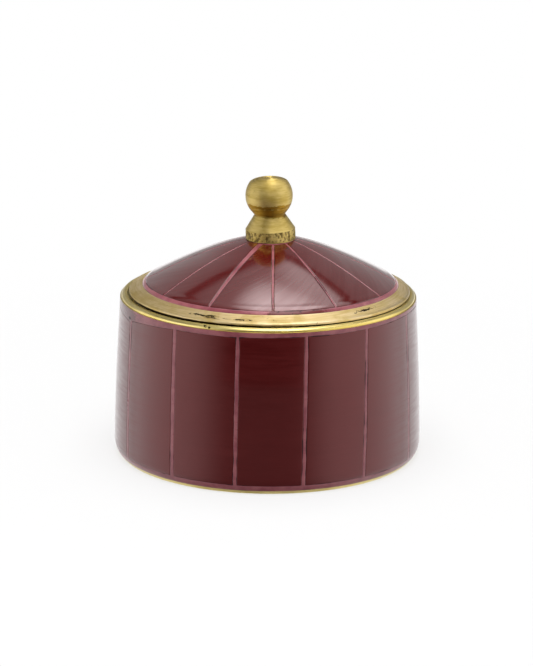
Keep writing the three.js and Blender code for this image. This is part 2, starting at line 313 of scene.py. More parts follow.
    def washer(self):
        top = self.lid_underside - HAIRLINE / MM
        foot = top - self.washer_thickness
        bore = self.bore_radius
        return eased([(bore, foot), (4.5, foot, 0.15), (4.5, top, 0.1), (bore, top), (bore, foot)])

    def screw(self):
        """Outline of the knob's screw, with a round head down and its shank up in the knob."""
        head_top = self.lid_underside - self.washer_thickness - 2 * HAIRLINE / MM
        head_height = 0.95
        head_radius = 2.9
        middle = head_top - head_height
        head = []
        for t in spread(10):
            angle = math.radians(lerp(-90, 0, t))
            head.append((head_radius * math.cos(angle), middle + head_height * math.sin(angle)))
        end = self.knob_foot + 9
        shank = [(1.5, head_top), (1.5, end, 0.3), (0, end)]
        return eased([*head, (head_radius, head_top, 0.1), *shank])


# Node trees


class Wire:
    """A value that runs through a node tree. Arithmetic with it adds Math nodes."""

    def __init__(self, socket):
        self.socket = socket
        self.tree = socket.id_data

    def through(self, kind, inputs=(), output=0, **settings):
        """The wire from a new node whose first input is this one."""
        return new_wire(self.tree, kind, {0: self, **dict(inputs)}, output, **settings)

    def then(self, operation, other):
        return calc(operation, self, other)

    def after(self, operation, other):
        return calc(operation, other, self)

    __add__ = partialmethod(then, "ADD")
    __sub__ = partialmethod(then, "SUBTRACT")
    __rsub__ = partialmethod(after, "SUBTRACT")
    __mul__ = partialmethod(then, "MULTIPLY")
    __truediv__ = partialmethod(then, "DIVIDE")
    __rtruediv__ = partialmethod(after, "DIVIDE")
    __neg__ = partialmethod(then, "MULTIPLY", -1)


def feed(socket, value):
    """Links a wire to the socket, or sets the socket to a plain value."""
    if isinstance(value, Wire):
        value.tree.links.new(value.socket, socket)
    else:
        socket.default_value = value


def put(tree, kind, inputs=(), **settings):
    """A new node with its settings, and its inputs given by name or number."""
    node = tree.nodes.new(kind)
    for key, value in settings.items():
        setattr(node, key, value)
    for key, value in dict(inputs).items():
        feed(node.inputs[key], value)
    return node


def new_wire(tree, kind, inputs=(), output=0, **settings):
    """The wire from one output of a new node."""
    return Wire(put(tree, kind, inputs, **settings).outputs[output])


def tree_of(values):
    return next(value.tree for value in values if isinstance(value, Wire))


def calc(operation, *values):
    """The wire from a new Math node. At least one of the values is a wire."""
    return new_wire(tree_of(values), "ShaderNodeMath", enumerate(values), operation=operation)


def most(value, *others):
    for other in others:
        value = calc("MAXIMUM", value, other)
    return value


def least(value, *others):
    for other in others:
        value = calc("MINIMUM", value, other)
    return value


def clamped(value):
    return least(most(value, 0), 1)


def size(value):
    return calc("ABSOLUTE", value)


def eased_share(share, strength):
    """A share from 0 to 1 that dwells at both ends."""
    return share - calc("SINE", share * TURN) * (strength / TURN)


def split(vector):
    return [Wire(socket) for socket in put(vector.tree, "ShaderNodeSeparateXYZ", {0: vector}).outputs]


def join(*parts):
    return new_wire(tree_of(parts), "ShaderNodeCombineXYZ", enumerate(parts))


def radius_of(x, y):
    return calc("SQRT", x * x + y * y)


def turn_of(x, y):
    """The angle from the front towards the right."""
    return calc("ARCTAN2", x, -y)


def mixed(share, first, second):
    """A mix of two numbers."""
    return share.through("ShaderNodeMix", {2: first, 3: second})


def tinted(share, first, second):
    """A mix of two colours, each a wire or three numbers."""
    first, second = [item if isinstance(item, Wire) else (*item, 1) for item in (first, second)]
    return share.through("ShaderNodeMix", {6: first, 7: second}, 2, data_type="RGBA")


def ramped(value, low, high, to_low=0.0, to_high=1.0):
    """A smooth step of the value from low to high."""
    inputs = {"From Min": low, "From Max": high, "To Min": to_low, "To Max": to_high}
    return value.through("ShaderNodeMapRange", inputs, interpolation_type="SMOOTHSTEP")


def noise(vector, scale, detail=2.0, rough=0.5, w=None):
    inputs = {"Vector": vector, "Scale": scale, "Detail": detail, "Roughness": rough}
    if w:
        inputs["W"] = w
    dimensions = "4D" if w else "3D"
    return new_wire(vector.tree, "ShaderNodeTexNoise", inputs, noise_dimensions=dimensions)


GEOMETRY = "NodeSocketGeometry"
MATERIAL = "NodeSocketMaterial"
VECTOR = "NodeSocketVector"
PLAIN_SOCKETS = {float: "NodeSocketFloat", int: "NodeSocketInt"}


def label(name):
    return name.replace("_", " ").title()


def built_once(build):
    """The tree whose nodes a function makes, named after it. Its arguments are the tree's inputs,
    each with its default value or its kind of socket, and it gives the tree's outputs."""
    name = label(build.__name__)
    if name in bpy.data.node_groups:
        return bpy.data.node_groups[name]
    kind = "GeometryNodeTree" if GEOMETRY in build.__defaults__ else "ShaderNodeTree"
    tree = bpy.data.node_groups.new(name, kind)
    for key, argument in inspect.signature(build).parameters.items():
        value = argument.default
        socket_kind = PLAIN_SOCKETS.get(type(value), value)
        socket = tree.interface.new_socket(label(key), in_out="INPUT", socket_type=socket_kind)
        if socket_kind != value:
            socket.default_value = value
    source = tree.nodes.new("NodeGroupInput")
    results = build(*[Wire(socket) for socket in source.outputs if socket.name])
    for key in results:
        socket_kind = GEOMETRY if key == "Geometry" else PLAIN_SOCKETS[float]
        tree.interface.new_socket(key, in_out="OUTPUT", socket_type=socket_kind)
    put(tree, "NodeGroupOutput", results)
    return tree


def finished_mesh(geometry, material):
    """Ends a geometry tree: welds, marks sharp edges, makes instances real and sets the material."""
    welded = geometry.through("GeometryNodeMergeByDistance", {"Distance": WELD_DISTANCE})
    smooth = welded.through("GeometryNodeSetShadeSmooth", {"Shade Smooth": True})
    angle = new_wire(geometry.tree, "GeometryNodeInputMeshEdgeAngle", output="Unsigned Angle")
    sharp = angle.through("FunctionNodeCompare", {1: SHARP_ANGLE}, operation="GREATER_THAN")
    flat = {"Selection": sharp, "Shade Smooth": False}
    edged = smooth.through("GeometryNodeSetShadeSmooth", flat, domain="EDGE")
    real = edged.through("GeometryNodeRealizeInstances")
    return {"Geometry": real.through("GeometryNodeSetMaterial", {"Material": material})}


def point_count(mesh):
    kind = "GeometryNodeAttributeDomainSize"
    return mesh.through(kind, output="Point Count", component="MESH")


def grid_rows(columns, rows):
    """A grid of cells, and the column and row of each of its points."""
    inputs = {"Size X": columns, "Size Y": rows, "Vertices X": columns + 1, "Vertices Y": rows + 1}
    grid = new_wire(columns.tree, "GeometryNodeMeshGrid", inputs)
    x, y, _ = split(new_wire(columns.tree, "GeometryNodeInputPosition"))
    return grid, x + columns * 0.5, y + rows * 0.5


def stored(geometry, name, value, domain="POINT", kind="FLOAT"):
    inputs = {"Name": name, "Value": value}
    return geometry.through("GeometryNodeStoreNamedAttribute", inputs, domain=domain, data_type=kind)


def named_vector(tree, name):
    kind = "GeometryNodeInputNamedAttribute"
    return new_wire(tree, kind, {"Name": name}, data_type="FLOAT_VECTOR")


def sampled(points, value, index, **settings):
    """The parts of a vector that the point with this number has."""
    inputs = {"Value": value, "Index": index}
    kind = "GeometryNodeSampleIndex"
    return split(points.through(kind, inputs, data_type="FLOAT_VECTOR", **settings))


def turned_part(
    outline=GEOMETRY, segments=256, pit_depth=0.0, pit_size=0.001, pits_from=0.0, pits_to=0.0,
    lean=0.0, lean_from=0.0, lean_over=0.001, seed=1.0, material=MATERIAL,
):
    """Turns an outline round the axis. A band of it can be pitted, and its top can lean."""
    rows = point_count(outline) - 1
    grid, column, row = grid_rows(segments, rows)
    position = new_wire(outline.tree, "GeometryNodeInputPosition")
    radius, off_centre, height = sampled(outline, position, calc("ROUND", row))
    angle = column / segments * TURN
    out_x = calc("SINE", angle)
    out_y = -calc("COSINE", angle)
    inside = calc("GREATER_THAN", height, pits_from)
    inside = inside * calc("LESS_THAN", height, pits_to)
    inside = inside * calc("GREATER_THAN", radius, 5 * MM)
    here = join(radius * out_x, radius * out_y, height * 0.55 + seed)
    pits = ramped(noise(here, 1 / pit_size, 3, 0.65), 0.46, 0.58) * inside
    worn = radius - pits * pit_depth
    above = height - lean_from
    leaning = clamped(above / lean_over) * lean
    x = worn * out_x
    turned = join(x - above * leaning + off_centre, worn * out_y, height + x * leaning)
    uv = join(column / segments, row / rows, 0)
    marked = stored(grid, "UVMap", uv, "CORNER", "FLOAT2")
    marked = stored(marked, "pitted", pits)
    return finished_mesh(marked.through("GeometryNodeSetPosition", {"Position": turned}), material)


def line_values(points, index):
    """Placing, widths and bands of the line with this number."""
    names = ("placing", "widths", "bands")
    return [sampled(points, named_vector(points.tree, name), index, clamp=True) for name in names]


# How much the enamel's cells crowd towards the borders
LINE_CROWDING = 0.6
FIELD_CROWDING = 0.95
BAND_CROWDING = 0.7
ROW_CROWDING = 0.85

# Waves in a metre of what is laid by hand, and what sets the noise of one line off from the next
WANDER_WAVES = 150
SWELL_WAVES = 240
LINE_STEP = 3.71


def enamel_on_a_turned_part(
    lines=GEOMETRY, outline="NodeSocketObject", line_cells=6, field_cells=24, band_cells=5,
    field_rows=56, depth=ENAMEL_DEPTH, gap=HAIRLINE, rounding=0.14 * MM, drop=0.05 * MM,
    wander=0.2 * MM, aimed_past_axis=0.0, innermost_radius=0.01, off_centre=0.0, seed=1.0,
    fields=0.0, material=MATERIAL,
):
    """Lays enamel on a turned part: lines and bands, or the fields between them, on one grid."""
    count = point_count(lines) - 1
    period = line_cells + field_cells
    grid, x, y = grid_rows(count * period, field_rows + band_cells * 2)

    # Cells that aren't part of this enamel are taken out while the grid is still flat.
    cell = calc("FLOOR", x)
    in_period = cell - calc("FLOOR", (cell + 0.5) / period) * period
    on_line = calc("LESS_THAN", in_period, line_cells - 0.5)
    low = calc("LESS_THAN", y, band_cells)
    high = calc("GREATER_THAN", y, band_cells + field_rows)
    mismatch = size(clamped(on_line + low + high) - fields)
    unwanted = mismatch.through("FunctionNodeCompare", {1: 0.5}, operation="LESS_THAN")
    kept = grid.through("GeometryNodeDeleteGeometry", {"Selection": unwanted}, domain="FACE")

    # Where a point lies across its line or field, and in which row.
    column = calc("ROUND", x)
    item = calc("FLOOR", (column + 0.5) / period)
    k = column - item * period
    across_line = eased_share(clamped(k / line_cells), LINE_CROWDING)
    across_field = eased_share(clamped((k - line_cells) / field_cells), FIELD_CROWDING)
    row = calc("ROUND", y)
    low_share = eased_share(clamped(row / band_cells), BAND_CROWDING)
    field_share = eased_share(clamped((row - band_cells) / field_rows), ROW_CROWDING)
    over_fields = row - band_cells - field_rows
    top_share = eased_share(clamped(over_fields / band_cells), BAND_CROWDING)

    # The bands' widths, which go smoothly from line to line and waver by hand.
    first = line_values(lines, item)
    second = line_values(lines, item + 1)
    nominal = mixed(k / period, first[0][0], second[0][0])
    circle = join(calc("SINE", nominal), calc("COSINE", nominal), seed)
    smooth_share = ramped(clamped(k / period), 0, 1)
    waver = (noise(circle, 14, 3, 0.6) - 0.5) * wander * 1.6
    low_width = mixed(smooth_share, first[2][0], second[2][0]) + waver * 0.6
    waver = (noise(circle, 16, 3, 0.6) - 0.5) * wander * 1.6
    top_width = mixed(smooth_share, first[2][1], second[2][1]) + waver

    curve = outline.through("GeometryNodeObjectInfo", output="Geometry")
    length = curve.through("GeometryNodeCurveLength")
    field_length = length - low_width - top_width
    reach = low_width * low_share + field_length * field_share + top_width * top_share
    gap = gap * fields
    inputs = {0: curve, "Length": reach + gap * (1 - field_share * 2)}
    sample = put(lines.tree, "GeometryNodeSampleCurve", inputs, mode="LENGTH", data_type="FLOAT")
    radius, _, height = split(Wire(sample.outputs["Position"]))
    along_r, _, along_z = split(Wire(sample.outputs["Tangent"]))

    # Angles of the edges of this line and of the next one.
    share = reach / length
    slanted = mixed(aimed_past_axis, share - 0.5, innermost_radius / radius)
    middles = []
    halves = []
    for number, (placing, widths, _) in enumerate((first, second)):
        own = calc("MODULO", item + number, count) * LINE_STEP + seed
        drift = (noise(join(reach * WANDER_WAVES, own, 0), 1.0, 2, 0.5) - 0.5) * wander * 2
        swell = noise(join(reach * SWELL_WAVES, own, 5.5), 1.0, 2, 0.5) * 0.6 + 0.7
        middles.append(placing[0] + placing[1] * slanted + drift / radius)
        halves.append(mixed(share, widths[0], widths[1]) * swell * 0.5 / radius)
    line_angle = middles[0] + halves[0] * (across_line * 2 - 1)
    span = middles[1] - halves[1] - middles[0] - halves[0]
    inwards = gap / radius * (across_line * 2 - 1 - across_field * 2)
    angle = line_angle + span * across_field + inwards

    # How far the point is from the border of its own enamel.
    to_side = least(across_line, 1 - across_line) * halves[0] * radius * 2
    to_low = low_width - reach
    to_top = reach - length + top_width
    pink_edge = least(most(to_side, most(to_low, to_top, 0)), least(reach, length - reach))
    to_line = least(across_field, 1 - across_field) * span * radius
    field_edge = least(most(to_line, 0), least(-to_low, -to_top))
    border = most(mixed(fields, pink_edge, field_edge), 0)

    near = 1 - clamped(border / rounding)
    drop = near * near * drop
    worn_radius = radius - along_z * drop
    out_x = calc("SINE", angle)
    out_y = -calc("COSINE", angle)
    x = worn_radius * out_x + off_centre
    place = join(x, worn_radius * out_y, height + along_r * drop)
    outward = join(along_z * out_x, along_z * out_y, -along_r)

    sheet = stored(kept, "UVMap", join(angle * radius, reach, 0), "CORNER", "FLOAT2")
    sheet = stored(sheet, "border", border / MM)
    sheet = stored(sheet, "outward", outward, kind="FLOAT_VECTOR")
    sheet = sheet.through("GeometryNodeSetPosition", {"Position": place})
    sheet = sheet.through("GeometryNodeMergeByDistance", {"Distance": WELD_DISTANCE})
    inputs = {"Offset": named_vector(lines.tree, "outward"), "Offset Scale": depth * -0.85}
    inner = sheet.through("GeometryNodeExtrudeMesh", {**inputs, "Individual": False})
    both = put(lines.tree, "GeometryNodeJoinGeometry", {0: inner.through("GeometryNodeFlipFaces")})
    feed(both.inputs[0], sheet)
    return finished_mesh(Wire(both.outputs[0]), material)


# Pieces


def linked(name, data):
    """A new object in the scene."""
    item = bpy.data.objects.new(name, data)
    bpy.context.scene.collection.objects.link(item)
    return item


def make_plain(piece):
    """Makes what the piece's modifiers show its own mesh, and takes them off."""
    start = piece.data
    depsgraph = bpy.context.evaluated_depsgraph_get()
    piece_mesh = bpy.data.meshes.new_from_object(piece.evaluated_get(depsgraph))
    piece.modifiers.clear()
    piece.data = piece_mesh
    bpy.data.meshes.remove(start)
    piece_mesh.name = piece.name


def grown(name, build, mesh, material, **values):
    """The plain mesh object that a geometry tree makes of a starting mesh."""
    piece = linked(name, mesh)
    modifier = piece.modifiers.new("Geometry", "NODES")
    modifier.node_group = built_once(build)
    sockets = modifier.node_group.interface.items_tree
    for key, value in {"material": material, **values}.items():
        modifier[sockets[label(key)].identifier] = value
    make_plain(piece)
    piece.data.materials.clear()
    piece.data.materials.append(material)
    return piece


def turned_piece(name, outline, material, off_centre=centred, **values):
    """Turns an outline round the axis. The Y of a starting point is how far its ring is off it."""
    mesh = bpy.data.meshes.new("outline")
    corners = [(r * MM, off_centre(r, height) * MM, height * MM) for r, height in outline]
    mesh.from_pydata(corners, [(index, index + 1) for index in range(len(corners) - 1)], [])
    return grown(name, turned_part, mesh, material, **values)


def outline_curve(points):
    curve = bpy.data.curves.new("enamel_outline", "CURVE")
    curve.dimensions = "3D"
    spline = curve.splines.new("POLY")
    spline.points.add(len(points) - 1)
    for point, (radius, height) in zip(spline.points, points):
        point.co = (radius * MM, 0, height * MM, 1)
    return curve


def line_points(rows):
    """One point for each line with its values, and the first one again at the end of the turn."""
    mesh = bpy.data.meshes.new("lines")
    rows = [*rows, (rows[0][0] + 360, *rows[0][1:])]
    mesh.from_pydata([(index * MM, 0, 0) for index in range(len(rows))], [], [])
    for start, name, unit in ((0, "placing", math.radians(1)), (2, "widths", MM), (4, "bands", MM)):
        attribute = mesh.attributes.new(name, "FLOAT_VECTOR", "POINT")
        for item, row in zip(attribute.data, rows):
            item.vector = (row[start] * unit, row[start + 1] * unit, 0)
    return mesh


def enamel_piece(name, outline, rows, material, fields, **values):
    """The fields of a turned part's enamel, or its lines and bands."""
    curve = outline_curve(outline)
    holder = linked("enamel_outline", curve)
    values.update(outline=holder, fields=float(fields))
    piece = grown(name, enamel_on_a_turned_part, line_points(rows), material, **values)
    bpy.data.objects.remove(holder)
    bpy.data.curves.remove(curve)
    return piece


# Shader node groups


def marks_of(x, y, across, wide=None):
    """Fine and coarse marks, long over x and y and thin across."""
    marks = noise(join(x, y, across), 1.0, 2, 0.6, w=wide)
    wider = wide * 0.22 if wide else None
    coarse = noise(join(x * 0.4, y * 0.4, across * 0.22), 1.0, 2, 0.5, w=wider)
    return {"Marks": marks, "Coarse": coarse}


def lathe_marks(place=VECTOR, along=60.0, across=3000.0):
    """Fine marks that run round the axis, as a value from 0 to 1."""
    x, y, z = split(place)
    return marks_of(x * along, y * along, z * across, radius_of(x, y) * across)


def brush_strokes(place=VECTOR, along=60.0, across=3000.0, slant=0.8):
    """Fine strokes that spiral in towards the axis, as a value from 0 to 1. Their width is right
    halfway in."""
    x, y, _ = split(place)
    halfway = 0.025
    spiral = calc("LOGARITHM", radius_of(x, y) / halfway, math.e) + turn_of(x, y) * slant
    return marks_of(x * along, y * along, spiral * across * halfway)


def tarnish_and_pits(
    place=VECTOR, cloud_scale=120.0, cloud_amount=0.5, pit_scale=900.0, pit_amount=0.3
):
    """Tarnish clouds and small dark pits, as two masks."""
    clouds = ramped(noise(place, cloud_scale, 4, 0.6), 0.44, 0.72) * cloud_amount
    pits = noise(place, pit_scale, 3, 0.7)
    groups = noise(place, cloud_scale * 1.7, 2, 0.5)
    pits = ramped(pits, 0.66, 0.72) * ramped(groups, 0.5, 0.62) * pit_amount
    return {"Clouds": clouds, "Pits": pits}


def nick(
    place=VECTOR, turn=0.0, radius=0.04, height=0.05, half_size=VECTOR, ragged=0.5, grain=1600.0
):
    """One ragged nick, stain, patch of painted shade or painted reflection at a place on a turned
    surface, as a mask.
    """
    x, y, z = split(place)
    from_axis = radius_of(x, y)
    arc = turn_of(x, y) - turn
    local = join(arc * from_axis, from_axis - radius, z - height)
    scaled = local.through("ShaderNodeVectorMath", {1: half_size}, operation="DIVIDE")
    length = scaled.through("ShaderNodeVectorMath", output="Value", operation="LENGTH")
    rough = noise(join(arc * from_axis * 0.35, from_axis, z), grain, 3, 0.65) - 0.5
    return {"Mask": ramped(length + rough * ragged * 5, 1.05, 0.8)}


def chipped_border(place=VECTOR, border=1.0, reach=0.2, amount=0.5):
    """Small dark chips and a thin dark seam along the border of an enamel."""
    ragged = noise(place, 900.0, 3, 0.7) * reach * 2
    groups = ramped(noise(place, 110.0, 2, 0.5), 0.5, 0.68)
    chips = ramped(ragged * groups - border, 0.0, 0.05) * amount
    seam = ramped(border, 0.12, 0.02) * (groups * 0.65 + 0.35)
    return {"Chips": chips, "Seam": seam}


def effect(place, build, **values):
    """The wires from a shader node group at this place."""
    node = put(place.tree, "ShaderNodeGroup", node_tree=built_once(build))
    for key, value in {"place": place, **values}.items():
        feed(node.inputs[label(key)], value)
    return [Wire(socket) for socket in node.outputs]


# Nicks and stains on the brass, on the lid's fields and on the pink enamel, with a painted seam
# shadow under the lid's flange and painted amber reflections on the knob. Each is an angle in
# degrees, a radius and a height in mm, its half size in mm along the turn, outwards and upwards, and
# how ragged it is. A half size of 1000 along the turn makes a ring of it.
FLANGE_NICKS = [
    (-27.5, 43.3, 54.9, (3.6, 0.4, 0.35), 1.3),
    (-24.0, 44.0, 54.5, (2.4, 0.2, 0.2), 1.0),
    (44.0, 43.3, 54.9, (3.8, 0.45, 0.35), 1.1),
    (-12.0, 43.8, 54.6, (3.0, 0.25, 0.25), 1.2),
    # Not a nick: a dark ring of painted shadow on the flange's edge under its bead, where the seam
    # with the rim lies in shade.
    (0, 45.0, 52.85, (1000, 0.75, 0.66), 0.08),
]
RIM_NICKS = [
    (-24.3, 46.9, 52.6, (0.5, 0.5, 0.4), 1.1),
    (-22.5, 47.2, 52.3, (0.3, 0.5, 0.4), 1.1),
]
# Not stains: rings of painted amber reflection on the underside of the knob's ball and on its neck.
KNOB_STAINS = [(0, 7.1, 81.8, (1000, 1.0, 0.7), 0.8), (0, 5.8, 79.8, (1000, 2.2, 1.8), 0.2)]
LID_NICKS = [(32, 11.6, 69.5, (0.7, 0.45, 0.5), 0.5)]
PINK_STAINS = [(-74, 48.2, 49.9, (13, 2, 2.8), 0.12), (17, 38.8, 57.6, (9, 1.3, 1.2), 0.3)]
PINK_NICKS = [
    (-65.6, 48.2, 48.9, (0.9, 0.6, 0.5), 0.3),
    (-89, 40.5, 57.2, (0.7, 0.6, 0.35), 0.2),
    (80, 40.6, 57.0, (0.9, 0.6, 0.35), 0.2),
    (1.2, 38.3, 58.2, (0.25, 0.5, 0.6), 0.5),
    (1.3, 36.6, 59.0, (0.2, 0.4, 0.6), 0.5),
]


def nicked(place, nicks):
    """A mask of the nicks, stains and painted patches in a list."""
    masks = []
    for turn, radius, height, half_size, ragged in nicks:
        where = {"turn": math.radians(turn), "radius": radius * MM, "height": height * MM}
        half_size = [value * MM for value in half_size]
        masks += effect(place, nick, **where, half_size=half_size, ragged=ragged)
    return most(*masks)


# Materials

OCHRE_TONE = (0.72, 0.66, 0.36)
PIT_BROWN = (0.035, 0.018, 0.004)
# Painted shade in the turned pits of the knob's collar
HOLLOW_BROWN = (0.09, 0.055, 0.018)
# Painted amber reflection of brass in brass, light and dark
AMBER = (0.42, 0.23, 0.009)
DARK_AMBER = (0.13, 0.06, 0.005)
# Dark brown of the nicks, and of the painted seam shadow under the lid's flange
NICK_BROWN = (0.02, 0.011, 0.004)
ZINC = (0.42, 0.42, 0.41)
DULL_ZINC = (0.28, 0.27, 0.24)
ZINC_PIT = (0.05, 0.04, 0.03)
RUST = (0.11, 0.024, 0.004)
BARE_METAL = (0.3, 0.13, 0.022)
BURGUNDY_SEAM = (0.02, 0.002, 0.003)
BURGUNDY_CHIP = (0.012, 0.004, 0.004)
PINK_SHADE = (0.7, 0.55, 0.62)
PINK_SEAM = (0.06, 0.008, 0.014)
PINK_STAIN = (0.1, 0.014, 0.016)
BAND_STAIN = (0.13, 0.014, 0.012)
PINK_CHIP = (0.03, 0.008, 0.01)


def blank_material(name):
    """A material without nodes, and the place on its object in the object's own coordinates."""
    material = bpy.data.materials.new(name)
    material.use_nodes = True
    material.node_tree.nodes.clear()
    return material, new_wire(material.node_tree, "ShaderNodeTexCoord", output="Object")


def finished(material, values):
    """Gives the material one Principled shader. Wires are linked to it, and what is the same all
    over is set on the shader itself."""
    shader = new_wire(material.node_tree, "ShaderNodeBsdfPrincipled", values)
    put(material.node_tree, "ShaderNodeOutputMaterial", {"Surface": shader})
    return material


def bumped(height, distance):
    return new_wire(height.tree, "ShaderNodeBump", {"Height": height, "Distance": distance})


def attribute_of(place, name):
    return new_wire(place.tree, "ShaderNodeAttribute", output="Fac", attribute_name=name)


def toned(colour, tone):
    return tuple(a * b for a, b in zip(colour, tone))


def brass_material(
    name, looks, tone, along, bump, brushed, clouds, pits, shine, polish, nicks=(), stains=()
):
    """Turned brass: lathe marks, ochre clouds, dark pits, painted shade in the turned pits, nicks, a
    painted seam shadow, painted amber reflections and edges that are polished from a radius in mm on.
    Its tone is partly the part's own tarnish and partly paints its copy lighter, darker or paler to
    match the light on it."""
    material, place = blank_material(name)
    marks, coarse = effect(place, lathe_marks, along=along, across=2600.0)
    clouded, pitted = effect(place, tarnish_and_pits, cloud_amount=clouds, pit_amount=pits)
    # The tone is partly the part's own tarnish and partly paints its copy of the brass lighter,
    # darker or paler to match the light on it.
    fresh = toned(looks.brass_colour, tone)
    ochre = toned(fresh, OCHRE_TONE)
    streaked = ramped(coarse * 0.55 + marks * 0.45, 0.38, 0.66)
    tint = tinted(clouded, tinted(streaked * 0.75, fresh, ochre), ochre)
    tint = tinted(pitted, tint, PIT_BROWN)
    # Painted shade darkens the turned pits.
    tint = tinted(attribute_of(place, "pitted") * 0.8, tint, HOLLOW_BROWN)
    # Painted amber reflection on the knob's ball underside and neck.
    if stains:
        amber = tinted(streaked, AMBER, DARK_AMBER)
        tint = tinted(nicked(place, stains) * 0.85, tint, amber)
    # Nicks are painted dark brown, and on the lid so is the painted seam shadow.
    if nicks:
        tint = tinted(nicked(place, nicks), tint, NICK_BROWN)
    x, y, _ = split(place)
    polished = ramped(radius_of(x, y), (polish - 0.3) * MM, (polish + 0.2) * MM)
    rough = (marks - 0.5) * 0.25 + clouded * 0.12 + pitted * 0.3 + shine - polished * 0.2
    return finished(material, {
        "Base Color": tint,
        "Roughness": clamped(rough),
        "Normal": bumped(marks * 0.6 + coarse * 0.4 - pitted * 1.5, bump),
        "Metallic": 1.0,
        "Anisotropic": brushed,
        "Anisotropic Rotation": 0.25,
    })


def steel_material():
    """Zinc-plated steel of the fixing inside the lid."""
    material, place = blank_material("Zinc Plated Steel")
    marks, coarse = effect(place, lathe_marks, along=400.0, across=4000.0)
    clouded, pitted = effect(place, tarnish_and_pits, cloud_scale=700.0, pit_scale=3000.0)
    return finished(material, {
        "Base Color": tinted(pitted, tinted(clouded, ZINC, DULL_ZINC), ZINC_PIT),
        "Roughness": clamped(marks * 0.25 + clouded * 0.2 + 0.2),
        "Normal": bumped(marks + coarse, 0.01 * MM),
        "Metallic": 1.0,
    })


def chips_and_seam(place, reach):
    border = attribute_of(place, "border")
    return effect(place, chipped_border, border=border, reach=reach, amount=0.8)


def burgundy_material(
    name, looks, strokes, along, across, bump, in_colour, in_coat, depth, shine, glint, gloss,
    worn_height=0, nicks=(),
):
    """See-through burgundy lacquer over metal that the strokes brush, which shows in its colour and
    its coat. Its depth is how light its colour is painted, and the lid's copy is painted lighter than
    the body's to make up for the light its flanks miss; its shine is the roughness and its glint the
    tint of the metal under it, and its gloss the coat's index. It is worn from a height on."""
    material, place = blank_material(name)
    marks, coarse = effect(place, strokes, along=along, across=across)
    chips, seam = chips_and_seam(place, 0.22)
    # Depth paints the lid's copy of the enamel lighter than the body's, to make up for light.
    deep = toned(looks.burgundy_colour, (depth, depth, depth))
    light = tuple(a * 1.9 + 0.003 for a in deep)
    mottle = noise(place, 90.0, 3, 0.6)
    brushed = ramped(marks * 0.6 + coarse * 0.4, 0.36, 0.66)
    tint = tinted(mottle * 0.3 + brushed * in_colour, deep, light)
    coat = brushed * in_coat + 0.88 - in_coat
    if worn_height:
        x, y, z = split(place)
        spot = noise(place, 260.0, 4, 0.7) - 0.5
        top = ramped(z + spot * 11 * MM, worn_height + 0.2 * MM, worn_height + 2.4 * MM)
        middle = size(x + 0.2 * MM + spot * 9 * MM)
        worn = top * ramped(-y, 2 * MM, 5 * MM) * ramped(middle, 6 * MM, 3 * MM)
        bare = ramped(-x + spot * 9 * MM, 1.5 * MM, 4 * MM)
        tint = tinted(worn * 0.9, tint, tinted(bare, RUST, BARE_METAL))
        coat = coat * ramped(z, worn_height - 3 * MM, worn_height + 1.5 * MM, 1.0, 0.3)
    tint = tinted(seam * 0.55, tint, BURGUNDY_SEAM)
    if nicks:
        chips = most(chips, nicked(place, nicks))
    return finished(material, {
        "Base Color": tinted(chips, tint, BURGUNDY_CHIP),
        "Roughness": clamped((brushed - 0.5) * in_colour + shine + chips * 0.3),
        "Normal": bumped(marks * 0.7 + coarse * 0.5 - chips, bump),
        "Coat Weight": clamped(coat - chips),
        "Specular IOR Level": 0.6,
        "Specular Tint": (1, glint, glint, 1),
        "Coat Roughness": 0.07,
        "Coat IOR": gloss,
    })


def pink_material(looks):
    """Opaque mauve-pink enamel, hand laid, stained at one place of the lid's band. The body and
    the lid share it."""
    name = "Mauve Pink Enamel"
    if name in bpy.data.materials:
        return bpy.data.materials[name]
    material, place = blank_material(name)
    chips, seam = chips_and_seam(place, 0.2)
    marks, coarse = effect(place, lathe_marks, along=120.0, across=900.0)
    plain = tuple(looks.pink_colour)
    mottle = ramped(noise(place, 220.0, 3, 0.6), 0.35, 0.7)
    tint = tinted(mottle, plain, toned(plain, PINK_SHADE))
    tint = tinted(seam * 0.6, tint, PINK_SEAM)
    tint = tinted(nicked(place, PINK_STAINS) * 0.8, tint, PINK_STAIN)
    x, y, z = split(place)
    spot = noise(place, 500.0, 3, 0.65)
    ragged_x = x + (spot - 0.5) * 12 * MM
    at_band = ramped(z, 54 * MM, 55 * MM) * ramped(z, 59.5 * MM, 58 * MM)
    stained = ramped(ragged_x, -1 * MM, 1 * MM) * ramped(ragged_x, 19 * MM, 16 * MM)
    stained = stained * at_band * ramped(-y, 20 * MM, 30 * MM)
    tint = tinted(stained * 0.95, tint, BAND_STAIN)
    chips = most(chips, stained * ramped(spot, 0.56, 0.62), nicked(place, PINK_NICKS))
    return finished(material, {
        "Base Color": tinted(chips, tint, PINK_CHIP),
        "Roughness": clamped(marks * 0.15 + 0.22 + chips * 0.4),
        "Normal": bumped(coarse + marks * 0.3 - chips, 0.02 * MM),
        "Specular IOR Level": 0.35,
        "Coat Weight": 0.45,
        "Coat Roughness": 0.08,
        "Coat IOR": 1.3,
    })


# What a user of the panel can change


class BrassBoxSizes(bpy.types.PropertyGroup):
    """Sizes of the box."""

    widest_radius: bpy.props.FloatProperty(
        name="Widest Radius", description="Radius of the body just above its foot",
        default=0.05, min=0.02, unit="LENGTH",
    )
    rim_height: bpy.props.FloatProperty(
        name="Rim Height", description="Height of the body's rim over the table",
        default=0.0535, min=0.02, unit="LENGTH",
    )
    dome_rise: bpy.props.FloatProperty(
        name="Dome Rise", description="Height of the lid's dome over its shoulder",
        default=0.01358, min=0.002, unit="LENGTH",
    )
    ball_radius: bpy.props.FloatProperty(
        name="Ball Radius", description="Radius of the ball on the knob",
        default=0.0076, min=0.006, unit="LENGTH",
    )


